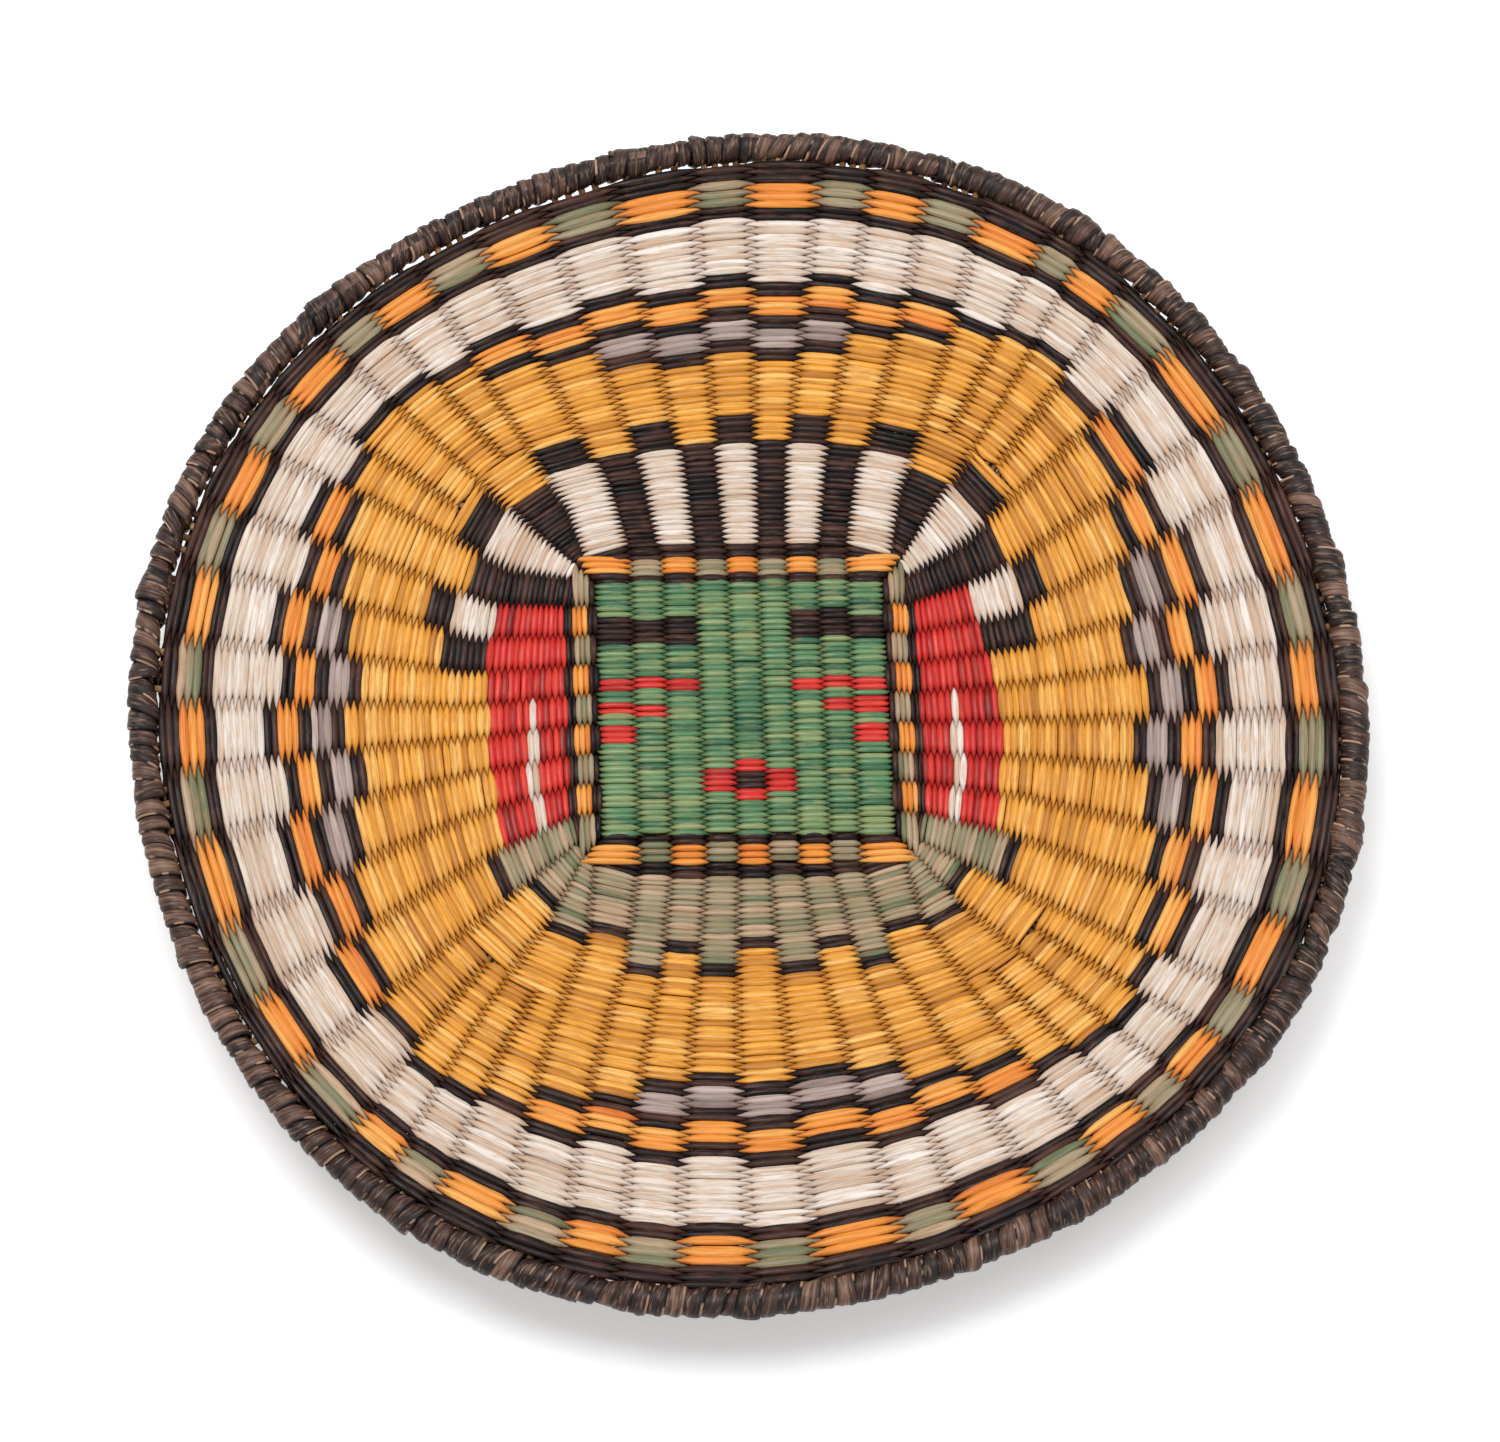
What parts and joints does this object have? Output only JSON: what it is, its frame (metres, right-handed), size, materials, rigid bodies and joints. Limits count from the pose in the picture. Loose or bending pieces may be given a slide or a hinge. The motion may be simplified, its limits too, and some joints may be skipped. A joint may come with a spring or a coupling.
{
  "type": "basketry plaque",
  "caption": "Shallow round wicker plaque: two crossed rib mats, dyed twig weft in concentric bands round a square figure, and a leaf-wrapped rim.",
  "frame": {"origin": "middle of the rim in plan, on the plane that the back mat's underside rests on", "axes": "+Z out of the patterned front face, +Y towards the top of the woven figure, +X to the viewer's right"},
  "size_m": [0.3593, 0.3604, 0.0314],
  "materials": {
    "peeled_rod": "dry peeled twigs, satin",
    "green_weft": "dyed twigs, strand to strand variation from blue green to yellow green, satin",
    "ochre_weft": "dyed twigs, yellow ochre, satin",
    "orange_weft": "dyed twigs, orange, satin",
    "sage_weft": "dyed twigs, grey sage, matt",
    "cream_weft": "twigs whitened with clay, matt",
    "dark_weft": "dyed twigs, black brown, satin",
    "red_weft": "dyed twigs, red, satin",
    "plum_weft": "dyed twigs, grey purple, matt",
    "rim_leaf": "dark brown leaf strip, satin with lighter fibres"
  },
  "bodies": {
    "root": {"back_mat_weft": "ochre_weft", "back_rib_bundle_1": "peeled_rod", "back_rib_bundle_2": "peeled_rod", "back_rib_bundle_3": "peeled_rod", "back_rib_bundle_4": "peeled_rod", "back_rib_bundle_5": "peeled_rod", "back_rib_bundle_6": "peeled_rod", "back_rib_bundle_7": "peeled_rod", "back_rib_bundle_8": "peeled_rod", "back_rib_bundle_9": "peeled_rod", "border_weft_round": "orange_weft", "corner_rib_bundle_1": "peeled_rod", "corner_rib_bundle_2": "peeled_rod", "corner_rib_bundle_3": "peeled_rod", "corner_rib_bundle_4": "peeled_rod", "corner_rib_bundle_5": "peeled_rod", "corner_rib_bundle_6": "peeled_rod", "corner_rib_bundle_7": "peeled_rod", "corner_rib_bundle_8": "peeled_rod", "edge_weft_ring": "dark_weft", "field_weft_ring": "ochre_weft", "figure_weft_ring": "sage_weft", "front_mat_weft": "green_weft", "front_rib_bundle_1": "peeled_rod", "front_rib_bundle_2": "peeled_rod", "front_rib_bundle_3": "peeled_rod", "front_rib_bundle_4": "peeled_rod", "front_rib_bundle_5": "peeled_rod", "front_rib_bundle_6": "peeled_rod", "front_rib_bundle_7": "peeled_rod", "front_rib_bundle_8": "peeled_rod", "front_rib_bundle_9": "peeled_rod", "pale_weft_ring": "cream_weft", "rim_core": "peeled_rod", "rim_wrap_strip_01": "rim_leaf", "rim_wrap_strip_02": "rim_leaf", "rim_wrap_strip_03": "rim_leaf", "rim_wrap_strip_04": "rim_leaf", "rim_wrap_strip_05": "rim_leaf", "rim_wrap_strip_06": "rim_leaf", "rim_wrap_strip_07": "rim_leaf", "rim_wrap_strip_08": "rim_leaf", "rim_wrap_strip_09": "rim_leaf", "rim_wrap_strip_10": "rim_leaf", "rim_wrap_strip_11": "rim_leaf", "rim_wrap_strip_12": "rim_leaf"}
  },
  "joints": []
}
